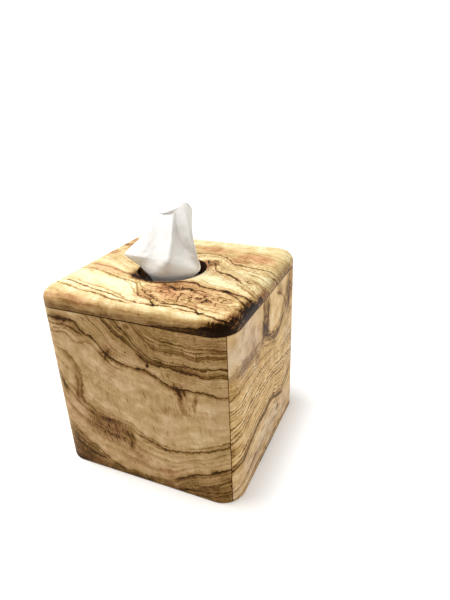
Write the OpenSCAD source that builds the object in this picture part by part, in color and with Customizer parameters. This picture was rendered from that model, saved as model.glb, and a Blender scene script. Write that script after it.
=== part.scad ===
// Slip-over cover for a cube pack of paper tissues: four mitred side boards and a top board of
// solid wood, with a refill carton standing inside and one tissue drawn up through the hole.
// Millimetres, +Z up. The origin is the middle of the footprint, on the table.

/* [Cover] */
// Width of the cover, left to right
box_w = 140; // [132:1:170]
// Depth of the cover, front to back
box_d = 134; // [132:1:170]
// Height of the cover, from the table to the top face
box_h = 137; // [120:1:170]
// Thickness of the four side boards
wall_t = 10; // [8:0.5:12]
// Thickness of the top board
top_t = 10; // [8:0.5:14]
// Radius of the four upright corners
corner_r = 16; // [12:1:20]
// Radius of the round-over along the upper edge
round_over_r = 7; // [3:0.5:7.5]
// Radius of the sanded lower edge
foot_r = 1; // [0.5:0.5:2]

/* [Dispensing hole] */
// Diameter of the hole in the top board
hole_d = 48; // [40:1:54]
// How far the hole sits to the right of the middle
hole_x = -2; // [-4:0.5:4]
// How far the hole sits behind the middle
hole_y = -1.5; // [-4:0.5:4]
// Radius of the eased edge round the hole
hole_ease_r = 1.5; // [0.5:0.5:3]

/* [Refill carton] */
// Gap between the carton and each side board
carton_gap = 2; // [1:0.5:3]
// Gap between the carton and the top board
carton_top_gap = 0.3; // [0.2:0.1:2]
// Thickness of the carton board
carton_t = 0.6; // [0.5:0.1:1]
// Radius at the folded upright edges of the carton
carton_fold_r = 2; // [1.5:0.5:3]
// How far the carton's opening stands back from the hole, all round
slot_margin = 6; // [4:1:8]
// How much longer than wide the carton's opening is
slot_stretch = 28; // [16:1:32]

/* [Tissue stack] */
// Gap between the stack and the inside of the carton, at each side
stack_gap = 1.4; // [1:0.2:3]
// Head room above the stack
head_room = 12; // [8:1:13]
// Radius of the soft upper edges of the pack
lip_r = 8; // [6:1:12]
// Radius of the soft lower edges
heel_r = 4; // [2:1:8]
// Width of the split between the two legs of the folded pack
split_w = 1; // [0.6:0.2:2]
// Depth of that split, from the top of the stack
split_depth = 84; // [40:1:90]

/* [Pulled tissue] */
// Thickness of the tissue
tissue_t = 0.4; // [0.3:0.1:0.6]
// Height of its tip above the top board
tissue_rise = 47; // [40:1:60]
// Height above the top board of the crease where it turns over the hole
crease_rise = 13; // [10:1:15]
// Height above the top board of its middle outline
middle_rise = 25; // [20:1:30]
// Height above the top board at which it fills out most
belly_rise = 3; // [2:0.5:4]
// Depth below the top face at which it is drawn in
waist_drop = 2.5; // [1.5:0.5:4]
// Least clearance between the tissue and the wall of the hole
hole_clear = 0.8; // [0.6:0.1:2]
// Gap between the tissue and the soft edges it stands between
seat_gap = 0.3; // [0.2:0.1:0.6]
// Half of its length along the split of the stack
foot_reach = 38; // [28:1:42]
// How deep it reaches into the mouth of the split
foot_sink = 2; // [1.5:0.5:3]

/* [Hidden] */
$fn = 96;

wood_top = "#dcb67f";
wood_side = "#c59c6a";
wood_end = "#b88c5b";
carton_white = "#f0efeb";
tissue_white = "#fbfbfa";

// Overshoot of every cut past the face it opens
cut = 1;

wall_h = box_h - top_t;
cavity_w = box_w - 2 * wall_t;
cavity_d = box_d - 2 * wall_t;

carton_w = cavity_w - 2 * carton_gap;
carton_d = cavity_d - 2 * carton_gap;
carton_h = wall_h - carton_top_gap;
slot_w = hole_d + 2 * slot_margin;

stack_w = carton_w - 2 * carton_t - 2 * stack_gap;
stack_d = carton_d - 2 * carton_t - 2 * stack_gap;
stack_h = carton_h - 2 * carton_t - head_room;
stack_top = carton_t + stack_h;
leg_d = (stack_d - split_w) / 2;

hole_r = hole_d / 2;
hole_at = [hole_x, hole_y];

// Helpers

// What a rounding cutter of radius r takes off an outer corner that lies at [r, r]
module corner_waste(r) {
    difference() {
        square(r + cut);
        circle(r);
    }
}

// Rectangle in the middle of the plane with its corners rounded
module rounded_rectangle(w, d, r) {
    square([w - 2 * r, d], center = true);
    square([w, d - 2 * r], center = true);
    for (x = [-1, 1])
        for (y = [-1, 1])
            translate([x * (w / 2 - r), y * (d / 2 - r)])
                circle(r);
}

// Cover

// Upright section through the edge of the cover, from the axis of a corner out to the sanded
// face: square where it meets the rest, eased at the foot and rounded over at the top
module edge_section() {
    difference() {
        square([corner_r, box_h]);
        translate([corner_r - round_over_r, box_h - round_over_r])
            corner_waste(round_over_r);
        translate([corner_r - foot_r, foot_r])
            mirror([0, 1])
                corner_waste(foot_r);
    }
}

// One side of the cover's outer form with the corner to its right, seen from above with the
// side at the back: half_l is half of the side's length and half_d its distance from the middle
module side_and_corner(half_l, half_d) {
    straight = half_l - corner_r;
    translate([-straight, half_d - corner_r, 0])
        rotate([90, 0, 90])
            linear_extrude(2 * straight)
                edge_section();
    translate([straight, half_d - corner_r, 0])
        rotate_extrude(angle = 90)
            edge_section();
}

// The cover's outer form, as it is sanded after the glue-up
module outer_form() {
    for (turn = [0, 180])
        rotate(turn) {
            side_and_corner(box_w / 2, box_d / 2);
            rotate(90)
                side_and_corner(box_d / 2, box_w / 2);
        }
    translate([corner_r - box_w / 2, corner_r - box_d / 2, 0])
        cube([box_w - 2 * corner_r, box_d - 2 * corner_r, box_h]);
}

// Plan of the board at the back: its inner face, and mitres that run out through the corners
module mitred_plan(half_cavity_l, half_cavity_d) {
    past = wall_t + cut;
    polygon([
        [-half_cavity_l, half_cavity_d],
        [half_cavity_l, half_cavity_d],
        [half_cavity_l + past, half_cavity_d + past],
        [-half_cavity_l - past, half_cavity_d + past]
    ]);
}

module side_board(turn, half_cavity_l, half_cavity_d) {
    intersection() {
        outer_form();
        rotate(turn)
            linear_extrude(wall_h)
                mitred_plan(half_cavity_l, half_cavity_d);
    }
}

module front_board() {
    color(wood_side)
        side_board(180, cavity_w / 2, cavity_d / 2);
}

module back_board() {
    color(wood_side)
        side_board(0, cavity_w / 2, cavity_d / 2);
}

module left_board() {
    color(wood_end)
        side_board(90, cavity_d / 2, cavity_w / 2);
}

module right_board() {
    color(wood_end)
        side_board(-90, cavity_d / 2, cavity_w / 2);
}

// The hole through the top board, with its upper edge eased
module dispensing_hole() {
    translate([hole_x, hole_y, 0]) {
        translate([0, 0, wall_h - cut])
            cylinder(h = top_t + 2 * cut, r = hole_r);
        rotate_extrude()
            translate([hole_r + hole_ease_r, box_h - hole_ease_r])
                mirror([1, 0])
                    corner_waste(hole_ease_r);
    }
}

module top_board() {
    color(wood_top)
        difference() {
            intersection() {
                outer_form();
                translate([-box_w, -box_d, wall_h])
                    cube([2 * box_w, 2 * box_d, top_t + cut]);
            }
            dispensing_hole();
        }
}

// Refill

// The carton's opening, under the hole in the top board
module slot_outline() {
    translate(hole_at) {
        square([slot_stretch, slot_w], center = true);
        for (x = [-1, 1])
            translate([x * slot_stretch / 2, 0])
                circle(slot_w / 2);
    }
}

module refill_carton() {
    color(carton_white)
        difference() {
            linear_extrude(carton_h)
                rounded_rectangle(carton_w, carton_d, carton_fold_r);
            translate([0, 0, carton_t])
                linear_extrude(carton_h - 2 * carton_t)
                    rounded_rectangle(carton_w - 2 * carton_t, carton_d - 2 * carton_t,
                                      carton_fold_r - carton_t);
            translate([0, 0, carton_h - carton_t - cut])
                linear_extrude(carton_t + 2 * cut)
                    slot_outline();
        }
}

// End view of one leg of the folded pack, from the split at x = 0 outwards
module leg_outline() {
    difference() {
        square([leg_d, stack_h]);
        translate([leg_d - lip_r, stack_h - lip_r])
            corner_waste(lip_r);
        translate([lip_r, stack_h - lip_r])
            mirror([1, 0])
                corner_waste(lip_r);
        translate([leg_d - heel_r, heel_r])
            mirror([0, 1])
                corner_waste(heel_r);
    }
}

// End view of the pack, which is folded over into two legs with the split between them
module stack_outline() {
    for (side = [0, 1])
        mirror([side, 0])
            translate([split_w / 2, 0])
                leg_outline();
    translate([-split_w / 2, 0])
        square([split_w, stack_h - split_depth]);
}

module tissue_stack() {
    color(tissue_white)
        translate([-stack_w / 2, 0, carton_t])
            rotate([90, 0, 90])
                linear_extrude(stack_w)
                    stack_outline();
}

// Pulled tissue

// The tissue is one thin sheet, drawn up between the legs of the pack, gathered through the hole
// and standing over it in flat panels between sharp folds. It goes twice round, with the second
// turn inside the first, and its two side edges stand free.
//
// Each row is one fold, in the order the folds come round the hole, and then round once more
// inside. It says where the fold stands in four outlines: at the belly, at the crease, half way up
// and at the free edge, in hundredths of the reach from the middle of the hole. Then come the
// height of its end, in hundredths of the rise, and how far the panel after it is dished, as a
// percentage of the full dish at that height.
fold_rows = [
    [[ 84,  20], [  74,  16], [ 66,  16], [ 72, 16],  90,  20],
    [[ 92,   8], [  80,   4], [ 70,   6], [ 65, 10],  98,  20],
    [[106, -14], [ 101, -30], [ 86, -26], [ 52,  4], 100,  10],
    [[ 93, -34], [  66, -18], [ 34, -14], [ 24,  0],  88,   0],
    [[ 38, -84], [  42, -92], [ 38, -53], [ 20, -8],  83,   0],
    [[-18, -92], [ -16, -80], [ -8, -46], [ -8, -6],  81,   0],
    [[-66, -64], [ -59, -82], [-48, -46], [-26, -4],  82,  10],
    [[-90, -34], [-117, -80], [-64, -34], [-40,  2],  82,  60],
    [[-69,   2], [ -64,   0], [-48,   4], [-22, 12],  81,  40],
    [[-26,  26], [ -26,  24], [-12,  22], [  4, 24],  85,  50],
    [[ 22,  30], [  22,  28], [ 26,  26], [ 30, 28],  91,  70],
    [[ 64,  22], [  56,  24], [ 50,  24], [ 58, 24],  89,  60],
    [[ 69, -10], [  52,   2], [ 46,   6], [ 50, 16],  85,  60],
    [[ 34, -54], [  26, -38], [ 18, -10], [ 32, 13],  81,  40],
    [[ -8, -60], [ -10, -46], [ -6, -18], [  8,  9],  74,  30],
    [[-42, -46], [ -50, -44], [-34, -20], [-12,  2],  70,  20],
    [[-60, -28], [ -84, -54], [-46, -18], [-24,  6],  66,  25],
    [[-46, -14], [ -46, -20], [-34,  -8], [-12, 14],  68,  30],
    [[-16,  -4], [ -16,  -4], [ -4,   4], [  8, 15],  70,  40],
    [[ 20,  -8], [  16,   0], [ 18,   6], [ 26, 18],  72,  40]
];
// Share of the belly's outline that is left where the tissue is drawn in, and at the underside of
// the top board
waist_share = 0.74;
neck_share = 0.5;
// Full dish at the foot, the neck, the waist, the belly, the crease, half way up and the edge, in
// hundredths of the reach
dish_share = [2, 8, 10, 12, 9, 6, 3.5];
// A panel narrower than this, in hundredths of the reach, is dished less, in proportion
full_panel_share = 34;
// Below the crease the folds blend into one smooth round, and above it only this share is left
panel_roundness = 0.15;
// Spans up a fold line to the crease, and those over which the roundness goes before it
crease_span = 5;
flattening_spans = 0.8;
// Steps across a panel, and along a span between two outlines
panel_steps = 4;
span_steps = 3;

reach = hole_r - hole_clear;
// Half of the width of the split's mouth at the depth that the tissue reaches
mouth_half = split_w / 2 + lip_r - sqrt(lip_r ^ 2 - (lip_r - foot_sink) ^ 2);
foot_half_t = mouth_half - seat_gap - tissue_t / 2;

// Least and greatest place of the folds at the belly
gather_low = [min([for (row = fold_rows) row[0].x]), min([for (row = fold_rows) row[0].y])];
gather_high = [max([for (row = fold_rows) row[0].x]), max([for (row = fold_rows) row[0].y])];
gather_mid = (gather_low + gather_high) / 2;
gather_half = (gather_high - gather_low) / 2;

function outline_point(p, z) = concat(hole_at + p * reach / 100, z);

function foot_point(p) = [
    (p.x - gather_mid.x) / gather_half.x * foot_reach,
    (p.y - gather_mid.y) / gather_half.y * foot_half_t,
    stack_top - foot_sink
];

// Where a fold that stands at p at the belly stands in the hole, drawn in to this share
function gathered_point(p, share, z) = outline_point(gather_mid + (p - gather_mid) * share, z);

// One fold from foot to free edge. The ends are doubled so that the curve reaches them, and the
// crease so that it stays sharp.
function fold_line(row) =
    let (
        foot = foot_point(row[0]),
        neck = gathered_point(row[0], neck_share, wall_h),
        waist = gathered_point(row[0], waist_share, box_h - waist_drop),
        belly = outline_point(row[0], box_h + belly_rise),
        crease = outline_point(row[1], box_h + crease_rise),
        middle = outline_point(row[2], box_h + middle_rise),
        edge = outline_point(row[3], box_h + tissue_rise * row[4] / 100)
    )
    [foot, foot, neck, waist, belly, crease, crease, middle, edge, edge];

full_dish = dish_share * reach / 100;
full_panel = full_panel_share * reach / 100;

// Full dish along a fold line, with the same doubled controls
dish_line = [for (i = [0, 0, 1, 2, 3, 4, 4, 5, 6, 6]) full_dish[i]];

spans = len(dish_line) - 2;

// Point t spans along the quadratic spline through a row of controls
function spline(row, t) =
    let (
        i = min(floor(t), spans - 1),
        s = t - i
    )
    row[i] * (1 - s) ^ 2 / 2 + row[i + 1] * (0.5 + s * (1 - s)) + row[i + 2] * s ^ 2 / 2;

// Point on the panel from a to b, f of the way across, dished by depth
function panel_point(a, b, f, depth) =
    let (
        side = [b.x - a.x, b.y - a.y],
        width = norm(side),
        inwards = [side.y, -side.x] / width,
        sag = depth * 4 * f * (1 - f) * min(1, width / full_panel)
    )
    a * (1 - f) + b * f + sag * [inwards.x, inwards.y, 0];

// Point f of the way from knot i to the next, on a smooth curve through all of them
function round_point(knots, i, f) =
    let (
        a = knots[i],
        b = knots[i + 1],
        before = knots[max(i - 1, 0)],
        after = knots[min(i + 2, len(knots) - 1)],
        leaving = a + (b - before) / 6,
        coming = b - (after - a) / 6
    )
    a * (1 - f) ^ 3 + leaving * 3 * f * (1 - f) ^ 2 + coming * 3 * f ^ 2 * (1 - f) + b * f ^ 3;

// Middle surface of the sheet as rows of points, one row for each step up
function sheet_rows() =
    let (folds = [for (row = fold_rows) fold_line(row)])
    [
        for (j = [0 : spans * span_steps])
            let (
                t = j / span_steps,
                depth = spline(dish_line, t),
                roundness = max(panel_roundness, min(1, (crease_span - t) / flattening_spans)),
                knots = [for (fold = folds) spline(fold, t)]
            )
            [
                for (i = [0 : len(knots) - 2])
                    for (k = [0 : panel_steps - 1])
                        let (
                            f = k / panel_steps,
                            dish = depth * fold_rows[i][5] / 100,
                            flat = panel_point(knots[i], knots[i + 1], f, dish)
                        )
                        flat + (round_point(knots, i, f) - flat) * roundness,
                knots[len(knots) - 1]
            ]
    ];

// A row moved sideways by d, square to its own run in plan
function moved_row(row, d) = [
    for (i = [0 : len(row) - 1])
        let (
            a = row[max(i - 1, 0)],
            b = row[min(i + 1, len(row) - 1)],
            run = [b.x - a.x, b.y - a.y]
        )
        row[i] + d * [-run.y, run.x, 0] / norm(run)
];

// The two triangles of a four-sided patch
function patch(a, b, c, d) = [[a, b, c], [a, c, d]];

module pulled_tissue() {
    rows = sheet_rows();
    n = len(rows[0]);
    m = len(rows);
    layer = n * m;
    outside = [for (row = rows) each moved_row(row, tissue_t / 2)];
    inside = [for (row = rows) each moved_row(row, -tissue_t / 2)];
    faces = [
        for (j = [0 : m - 2])
            for (i = [0 : n - 2])
                let (p = j * n + i)
                each concat(
                    patch(p, p + 1, p + n + 1, p + n),
                    patch(layer + p, layer + p + n, layer + p + n + 1, layer + p + 1)
                ),
        for (i = [0 : n - 2])
            let (p = (m - 1) * n + i)
            each concat(
                patch(i, layer + i, layer + i + 1, i + 1),
                patch(p, p + 1, layer + p + 1, layer + p)
            ),
        for (j = [0 : m - 2])
            let (p = j * n, q = p + n - 1)
            each concat(
                patch(p, p + n, layer + p + n, layer + p),
                patch(q, layer + q, layer + q + n, q + n)
            )
    ];
    color(tissue_white)
        polyhedron(concat(outside, inside), faces);
}

top_board();
front_board();
back_board();
left_board();
right_board();
refill_carton();
tissue_stack();
pulled_tissue();
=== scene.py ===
"""Looks of the wooden tissue box: figured wood on its five boards, the tissue that stands up
through the hole, and the card and paper inside. Lengths are in metres, and the figure of the
wood is drawn in millimetres on each board's face."""
import math
from collections import namedtuple

import bmesh
import bpy
import mathutils.noise
from mathutils import Matrix, Vector


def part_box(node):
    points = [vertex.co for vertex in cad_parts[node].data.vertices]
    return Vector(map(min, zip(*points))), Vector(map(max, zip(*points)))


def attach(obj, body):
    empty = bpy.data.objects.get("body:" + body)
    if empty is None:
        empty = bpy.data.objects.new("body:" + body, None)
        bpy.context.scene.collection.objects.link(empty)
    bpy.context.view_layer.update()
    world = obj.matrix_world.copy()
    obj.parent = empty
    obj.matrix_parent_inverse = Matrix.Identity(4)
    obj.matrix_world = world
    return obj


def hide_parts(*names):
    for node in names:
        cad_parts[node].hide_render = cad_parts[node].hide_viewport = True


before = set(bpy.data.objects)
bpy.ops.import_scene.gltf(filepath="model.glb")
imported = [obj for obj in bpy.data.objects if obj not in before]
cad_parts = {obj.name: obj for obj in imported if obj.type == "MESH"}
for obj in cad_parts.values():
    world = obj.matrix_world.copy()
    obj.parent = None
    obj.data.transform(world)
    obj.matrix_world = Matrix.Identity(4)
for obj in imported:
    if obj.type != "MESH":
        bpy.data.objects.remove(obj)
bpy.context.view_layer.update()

MM = 0.001

HOLE_MIDDLE = Vector((-2.0, -1.5))
HOLE_R = 24.0
CORNER_R = 16.0
TOP_LOW, TOP_HIGH = (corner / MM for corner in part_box("top_board"))
HALF_W = TOP_HIGH.x
HALF_D = TOP_HIGH.y
BOX_H = TOP_HIGH.z
WALL_H = TOP_LOW.z
# The mitres run at 45 degrees: on them |x| is |y| plus this
MITRE_SHIFT = HALF_W - HALF_D


# Arithmetic with shader nodes


class Field:
    """One number at each point of a surface, as the output of a shader node."""

    def __init__(self, tree, socket):
        self.tree = tree
        self.socket = socket

    def __add__(self, other):
        return arithmetic(self.tree, "ADD", self, other)

    def __sub__(self, other):
        return arithmetic(self.tree, "SUBTRACT", self, other)

    def __rsub__(self, other):
        return arithmetic(self.tree, "SUBTRACT", other, self)

    def __mul__(self, other):
        return arithmetic(self.tree, "MULTIPLY", self, other)

    def __truediv__(self, other):
        return arithmetic(self.tree, "DIVIDE", self, other)

    def __abs__(self):
        return arithmetic(self.tree, "ABSOLUTE", self)

    __radd__ = __add__
    __rmul__ = __mul__


def feed(tree, socket, value):
    """Gives an input socket a field, another node's output or a plain value."""
    if isinstance(value, Field):
        tree.links.new(value.socket, socket)
    elif isinstance(value, bpy.types.NodeSocket):
        tree.links.new(value, socket)
    else:
        socket.default_value = value


def arithmetic(tree, operation, *values):
    node = tree.nodes.new("ShaderNodeMath")
    node.operation = operation
    for socket, value in zip(node.inputs, values):
        feed(tree, socket, value)
    return Field(tree, node.outputs[0])


def limited(field):
    """The field, held between 0 and 1."""
    node = field.tree.nodes.new("ShaderNodeClamp")
    feed(field.tree, node.inputs["Value"], field)
    return Field(field.tree, node.outputs["Result"])


def ease(field, start, end):
    """Goes smoothly from 0 where the field is start to 1 where it is end."""
    node = field.tree.nodes.new("ShaderNodeMapRange")
    node.interpolation_type = "SMOOTHSTEP"
    feed(field.tree, node.inputs["Value"], field)
    feed(field.tree, node.inputs["From Min"], start)
    feed(field.tree, node.inputs["From Max"], end)
    return Field(field.tree, node.outputs["Result"])


def share_of(field, low, high):
    """0 where the field is low and 1 where it is high."""
    return arithmetic(field.tree, "MULTIPLY_ADD", field, 1 / (high - low), low / (low - high))


def chart(share, points, low, high, rounded=True):
    """The height of a curve through given points. All of them lie between the corners low
    and high, outside them the curve runs on level, and share is the way from low to high."""
    tree = share.tree
    width = high[0] - low[0]
    height = high[1] - low[1]
    node = tree.nodes.new("ShaderNodeFloatCurve")
    curve = node.mapping.curves[0]
    while len(curve.points) < len(points):
        curve.points.new(1.0, 1.0)
    for knot, (x, y) in zip(curve.points, points):
        knot.location = ((x - low[0]) / width, (y - low[1]) / height)
        knot.handle_type = "AUTO_CLAMPED" if rounded else "VECTOR"
    node.mapping.extend = "HORIZONTAL"
    node.mapping.update()
    feed(tree, node.inputs["Value"], share)
    return arithmetic(tree, "MULTIPLY_ADD", Field(tree, node.outputs[0]), height, low[1])


def vector(tree, x, y, z=0.0):
    node = tree.nodes.new("ShaderNodeCombineXYZ")
    for socket, value in zip(node.inputs, (x, y, z)):
        feed(tree, socket, value)
    return node.outputs[0]


def noise(tree, place, size, detail=2.0, roughness=0.5):
    """Smooth noise round 0, mostly within 0.3 of it. size is that of its lumps along each axis,
    or one size for all of them, in the units of the place."""
    if not isinstance(size, tuple):
        size = (size, size, size)
    mapping = tree.nodes.new("ShaderNodeMapping")
    mapping.inputs["Scale"].default_value = [1 / length for length in size]
    feed(tree, mapping.inputs["Vector"], place)
    node = tree.nodes.new("ShaderNodeTexNoise")
    node.inputs["Scale"].default_value = 1.0
    node.inputs["Detail"].default_value = detail
    node.inputs["Roughness"].default_value = roughness
    feed(tree, node.inputs["Vector"], mapping.outputs[0])
    return Field(tree, node.outputs["Fac"]) - 0.5


def spot(tree, place, centre, radii, turn=0.0):
    """A soft ellipse, 1 in its middle and 0 from its rim outwards. turn is in degrees."""
    mapping = tree.nodes.new("ShaderNodeMapping")
    mapping.vector_type = "TEXTURE"
    mapping.inputs["Location"].default_value = (*centre, 0.0)
    mapping.inputs["Rotation"].default_value = (0.0, 0.0, math.radians(turn))
    mapping.inputs["Scale"].default_value = (*radii, 1.0)
    feed(tree, mapping.inputs["Vector"], place)
    gradient = tree.nodes.new("ShaderNodeTexGradient")
    gradient.gradient_type = "SPHERICAL"
    feed(tree, gradient.inputs["Vector"], mapping.outputs[0])
    return ease(Field(tree, gradient.outputs["Fac"]), 0.0, 0.8)


def srgb(red, green, blue):
    """A colour as a screen shows it, from 0 to 255, for a socket."""

    def linear(value):
        value /= 255
        return value / 12.92 if value <= 0.04045 else ((value + 0.055) / 1.055) ** 2.4

    return (linear(red), linear(green), linear(blue), 1.0)


def ramp(field, colours):
    """A colour for each tone."""
    node = field.tree.nodes.new("ShaderNodeValToRGB")
    elements = node.color_ramp.elements
    while len(elements) < len(TONES):
        elements.new(1.0)
    for element, tone, colour in zip(elements, TONES, colours):
        element.position = tone
        element.color = srgb(*colour)
    feed(field.tree, node.inputs["Fac"], field)
    return node.outputs["Color"]


def blended(tree, share, first, second):
    node = tree.nodes.new("ShaderNodeMix")
    node.data_type = "RGBA"
    feed(tree, node.inputs["Factor"], share)
    feed(tree, node.inputs[6], first)
    feed(tree, node.inputs[7], second)
    return node.outputs[2]


def new_material(name):
    """An empty material, its node tree and its surface shader."""
    material = bpy.data.materials.new(name)
    material.use_nodes = True
    tree = material.node_tree
    return material, tree, tree.nodes["Principled BSDF"]


def add_bump(tree, shader, height, depth):
    """Roughens the surface. depth is what a height of 1 stands out, in metres."""
    node = tree.nodes.new("ShaderNodeBump")
    node.inputs["Distance"].default_value = depth
    feed(tree, node.inputs["Height"], height)
    tree.links.new(node.outputs["Normal"], shader.inputs["Normal"])


# Figure of the wood
#
# A figure is drawn on a board's face in millimetres, u along the board and v across it. Its
# guides are growth rings from the lowest up, as points (u, v). From each guide to the next the
# ring number goes up by one, so that all fine lines run between them. tones, lines and contrast
# are charts over the ring number: how pale the wood is, from 0 to 1, how many fine lines have
# been passed, and how dark those are.
#
# A vein is (points, width, darkness, shade): a dark line, with a softer shade on the side above
# it, or below it if shade is negative, so many millimetres wide. A steep vein has its points as
# (v, u). A spot is (centre, radii, turn, tone, warmth), and it changes the tone and the lean to
# the second palette by the last two. A swirl is (centre, radii, size, darkness), with curled
# lines of that size in it. flecks and mottle say how strong the short dark streaks and the
# cloudy changes of tone are.

Figure = namedtuple(
    "Figure", "guides tones lines contrast flecks mottle veins steep_veins spots swirls")

FACE_LOW = (-80.0, -120.0)
FACE_HIGH = (80.0, 240.0)
CONTOURS = 8.0
# The fine lines drawn a second time, closer and fainter
CLOSER = 2.6
FAINTER = 0.45


def guide(u_share, points):
    return chart(u_share, points, FACE_LOW, FACE_HIGH)


def steep_guide(v_share, points):
    return chart(v_share, points, FACE_LOW[::-1], FACE_HIGH[::-1])


def ring_number(u_share, v, guides):
    """0 at the lowest guide, 1 at the next and so on, evenly between them."""
    below = guide(u_share, guides[0])
    total = None
    for points in guides[1:]:
        above = guide(u_share, points)
        share = limited((v - below) / (above - below))
        total = share if total is None else total + share
        below = above
    return total


def by_ring(ring_share, points):
    """A chart over the ring number with straight stretches."""
    values = [value for _, value in points]
    low = (0, min(values) - 0.01)
    high = (points[-1][0], max(values) + 0.01)
    return chart(ring_share, points, low, high, rounded=False)


def vein_dark(along, off, lumps, vein):
    """Darkness of one vein, off millimetres from its middle line. It is a dark core in a faint
    halo, both as wide as lumps says, and it fades out at its ends."""
    points, width, dark, shade = vein
    away = abs(off) / lumps
    core = ease(away, 0.9 * width, 0.35 * width)
    halo = ease(away, 3.0 * width, 0.0) * 0.22
    core = arithmetic(off.tree, "MAXIMUM", core, halo)
    if shade:
        beside = ease(off, shade, 0.0) * ease(off, -0.2 * shade, 0.0) * 0.6
        core = arithmetic(off.tree, "MAXIMUM", core, beside)
    ends = ease(along, points[0][0] - 2, points[0][0] + 4)
    ends = ends * ease(along, points[-1][0] + 2, points[-1][0] - 4)
    return core * ends * dark


def fine_lines(tree, passed, seed):
    """Growth lines: each grows darker towards its far side, by a strength of its own."""
    whole = arithmetic(tree, "FLOOR", passed)
    place = whole + seed
    chance = tree.nodes.new("ShaderNodeTexWhiteNoise")
    chance.noise_dimensions = "1D"
    feed(tree, chance.inputs["W"], place)
    strength = Field(tree, chance.outputs["Value"]) * 1.2 + 0.1
    return arithmetic(tree, "POWER", passed - whole, 3.0) * strength


def curled_lines(tree, place, size):
    """Thin lines that wind and close on themselves, each fading here and there. They are the
    contours of a noise, as many for a rise of 1 as CONTOURS says."""
    passed = noise(tree, place, size, detail=1.5) * CONTOURS
    off = abs(passed - arithmetic(tree, "FLOOR", passed) - 0.5)
    line = ease(off, 0.24, 0.04)
    return line * limited(noise(tree, place, size, detail=0.0) * -3.0 + 0.8)


def growth_lines(tree, u, ring_share, seed, figure):
    """Tone of the rings, with their fine lines."""
    tone = by_ring(ring_share, figure.tones)
    passed = by_ring(ring_share, figure.lines)
    along = vector(tree, u, passed, seed)
    tone = tone + noise(tree, along, (34.0, 0.9, 1.0), detail=4.0, roughness=0.6) * 0.6
    passed = passed + noise(tree, along, (45.0, 1.6, 1.0)) * 1.3
    fading = limited(noise(tree, along, (14.0, 0.8, 1.0)) * 3.0 + 1.0)
    strands = fine_lines(tree, passed, seed) + fine_lines(tree, passed * CLOSER, seed) * FAINTER
    return tone - strands * fading * by_ring(ring_share, figure.contrast)


def with_veins(tone, flat, u, v, u_share, jitter, figure):
    """The tone with all veins drawn in."""
    tree = tone.tree
    lumps = noise(tree, flat, 5.0, detail=3.0, roughness=0.65) * 3.5 + 1.1
    lumps = arithmetic(tree, "MAXIMUM", lumps, 0.5)
    for vein in figure.veins:
        tone = tone - vein_dark(u, v - guide(u_share, vein[0]), lumps, vein)
    wavy = u + jitter * 5.0
    v_share = share_of(v, FACE_LOW[1], FACE_HIGH[1])
    for vein in figure.steep_veins:
        tone = tone - vein_dark(v, wavy - steep_guide(v_share, vein[0]), lumps, vein)
    return tone


def with_spots(tone, warmth, ragged, flecks, figure):
    """The tone and the warmth with all spots in them, streaked by the flecks."""
    for centre, radii, turn, change, warm in figure.spots:
        here = spot(tone.tree, ragged, centre, radii, turn)
        rough = limited(here * (flecks * 3.0 + 1.0))
        tone = tone + rough * change
        if warm:
            warmth = warmth + here * warm
    return tone, warmth


def drawn_figure(tree, u, v, seed, figure):
    """Three fields from a figure: the tone, from 0 in a black vein to 1 in the palest wood, how
    much it leans to the second palette, and the height of the fibres. seed moves the chance
    detail."""
    flat = vector(tree, u, v, seed)
    coarse = noise(tree, flat, 16.0, detail=1.0)
    v = v + coarse * 3.5
    jitter = noise(tree, flat, 4.2, detail=4.0, roughness=0.7)
    v = v + jitter * 5.0
    u_share = share_of(u, FACE_LOW[0], FACE_HIGH[0])
    ring_share = ring_number(u_share, v, figure.guides) / (len(figure.guides) - 1)
    tone = growth_lines(tree, u, ring_share, seed, figure)

    ragged = vector(tree, u + coarse * 12.0, v, 0.0)
    for centre, radii, size, dark in figure.swirls:
        here = spot(tree, ragged, centre, radii)
        tone = tone - curled_lines(tree, flat, size) * here * dark
    tone = with_veins(tone, flat, u, v, u_share, jitter, figure)

    slanted = vector(tree, u + v * 0.3 + jitter * 4.0, v, seed)
    flecks = noise(tree, slanted, (1.0, 9.0, 1.0), detail=2.0, roughness=0.6)
    warmth = coarse * 1.6 + 0.12
    tone, warmth = with_spots(tone, warmth, ragged, flecks, figure)
    tone = tone - ease(flecks, 0.06, 0.28) * figure.flecks
    tone = tone + noise(tree, flat, 8.0, detail=4.0, roughness=0.6) * figure.mottle
    fibres = noise(tree, flat, (5.0, 0.4, 1.0), detail=2.0)
    return tone + fibres * 0.12, warmth, fibres


# Palettes: a colour for each of the tones, as a screen shows it. They are set against this
# scene's light, so their differences are in part painted light and shade: the top's are
# darker to make up for the stronger light on it, and the right board's are paler, a painted light.
TONES = (0.0, 0.2, 0.4, 0.6, 0.8, 1.0)
BROWNS = [(56, 32, 2), (96, 64, 18), (142, 105, 52), (178, 141, 88), (210, 174, 121),
          (237, 207, 158)]
REDS = [(62, 30, 4), (106, 64, 26), (152, 104, 62), (189, 140, 97), (216, 172, 131),
        (237, 203, 162)]
PALE_BROWNS = [(66, 38, 6), (114, 78, 30), (168, 127, 70), (212, 169, 105), (241, 201, 140),
               (253, 230, 180)]
PALE_GREYS = [(72, 46, 26), (120, 86, 54), (166, 132, 96), (206, 172, 132), (232, 202, 163),
              (248, 229, 196)]
YELLOWS = [(22, 8, 2), (80, 50, 18), (140, 104, 60), (182, 148, 95), (212, 188, 134),
           (232, 226, 184)]
ORANGES = [(30, 8, 3), (92, 50, 24), (152, 102, 64), (192, 141, 98), (218, 176, 130),
           (234, 210, 170)]


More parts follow.
